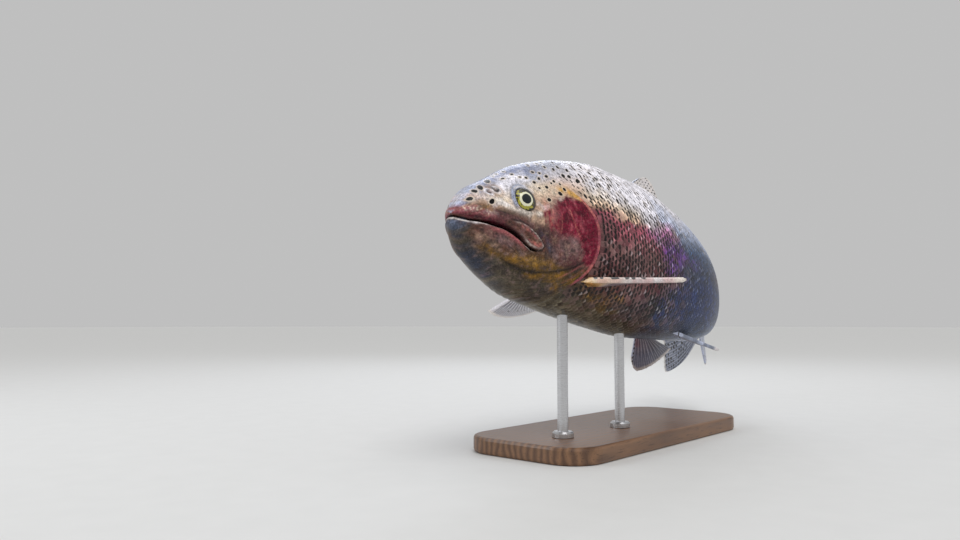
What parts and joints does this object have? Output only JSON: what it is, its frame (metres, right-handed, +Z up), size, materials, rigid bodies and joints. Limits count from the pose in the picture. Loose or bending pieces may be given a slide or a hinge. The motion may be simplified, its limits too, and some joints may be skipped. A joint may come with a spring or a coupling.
{
  "type": "rainbow trout",
  "caption": "Life-size rainbow trout in a swimming pose, tail swept to its right, held over a flat base by two short rods.",
  "frame": {"origin": "middle of the stand base's underside, on the surface it stands on", "axes": "-X towards the snout, +X towards the tail along the fish, -Y the fish's left side, +Z up"},
  "size_m": [0.5834, 0.2489, 0.265],
  "materials": {
    "skin": "wet scaled skin: lavender-grey back with black spots, rose and purple flank stripe, olive-brown belly",
    "gill_cover": "smooth wet skin over bone, crimson with a pale rear rim",
    "eye": "clear glossy cornea over a yellow-olive iris and black pupil",
    "fin": "thin translucent rayed membrane, pale grey with dark spots and a white rim",
    "stand_wood": "satin dark walnut",
    "stand_steel": "brushed rods with turned collars"
  },
  "bodies": {
    "root": {"head": "skin", "lower_jaw": "skin", "maxilla_left": "skin", "maxilla_right": "skin", "trunk": "skin", "tail_stalk": "skin", "gill_cover_left": "gill_cover", "gill_cover_right": "gill_cover", "eye_left": "eye", "eye_right": "eye", "dorsal_fin": "fin", "adipose_fin": "fin", "anal_fin": "fin", "tail_fin": "fin", "pectoral_fin_left": "fin", "pectoral_fin_right": "fin", "pelvic_fin_left": "fin", "pelvic_fin_right": "fin", "stand_base": "stand_wood", "stand_rod_front": "stand_steel", "stand_rod_rear": "stand_steel"}
  },
  "joints": []
}
